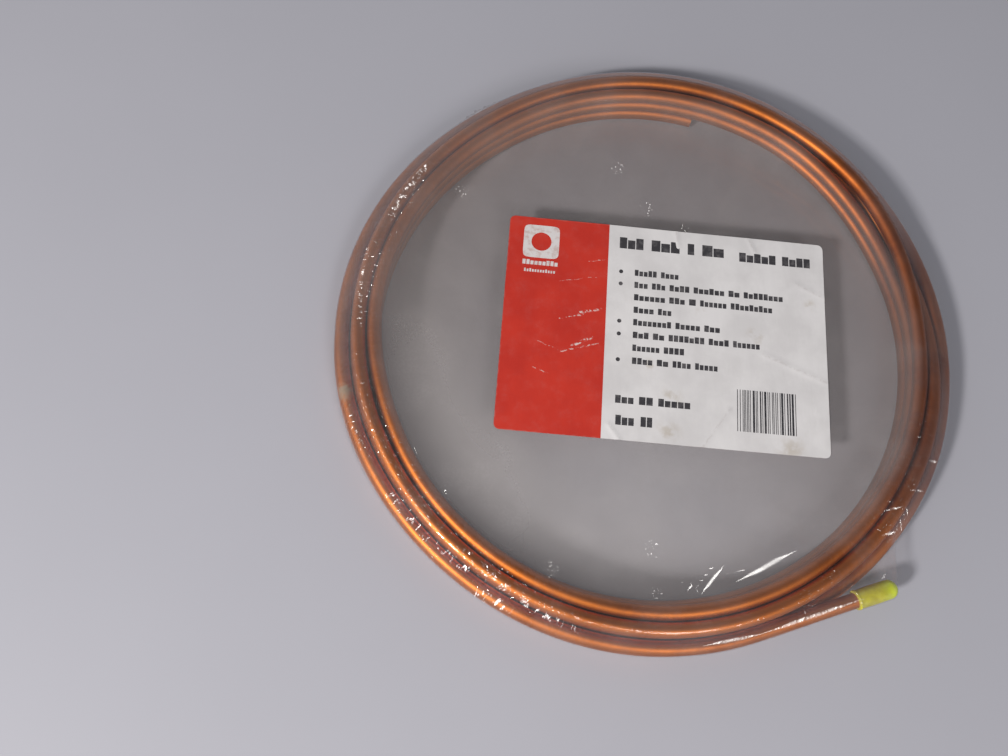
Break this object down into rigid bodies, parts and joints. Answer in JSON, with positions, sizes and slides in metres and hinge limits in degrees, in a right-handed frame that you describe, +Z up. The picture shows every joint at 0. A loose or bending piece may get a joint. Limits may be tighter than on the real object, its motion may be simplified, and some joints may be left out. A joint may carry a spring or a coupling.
{
  "type": "copper tube coil",
  "caption": "Soft copper tube wound into a flat ring, hollow throughout, with a capped outer end, in a clear film wrap with a label.",
  "frame": {"origin": "on the coil's axis, at the flat underside of the film that the coil lies on", "axes": "+Z up along the coil's axis; +Y towards the top of the label; the tube's outer end is on the +X, -Y side"},
  "size_m": [0.2814, 0.2814, 0.0209],
  "materials": {
    "copper": "drawn soft copper, lightly tarnished",
    "cap_vinyl": "translucent soft vinyl",
    "clear_film": "clear shrink film, wrinkled and hazy",
    "label_paper": "printed gloss paper sticker, red and white, scuffed"
  },
  "bodies": {
    "root": {"copper_tube": "copper", "outer_end_cap": "cap_vinyl", "shrink_film": "clear_film", "label": "label_paper"}
  },
  "joints": []
}
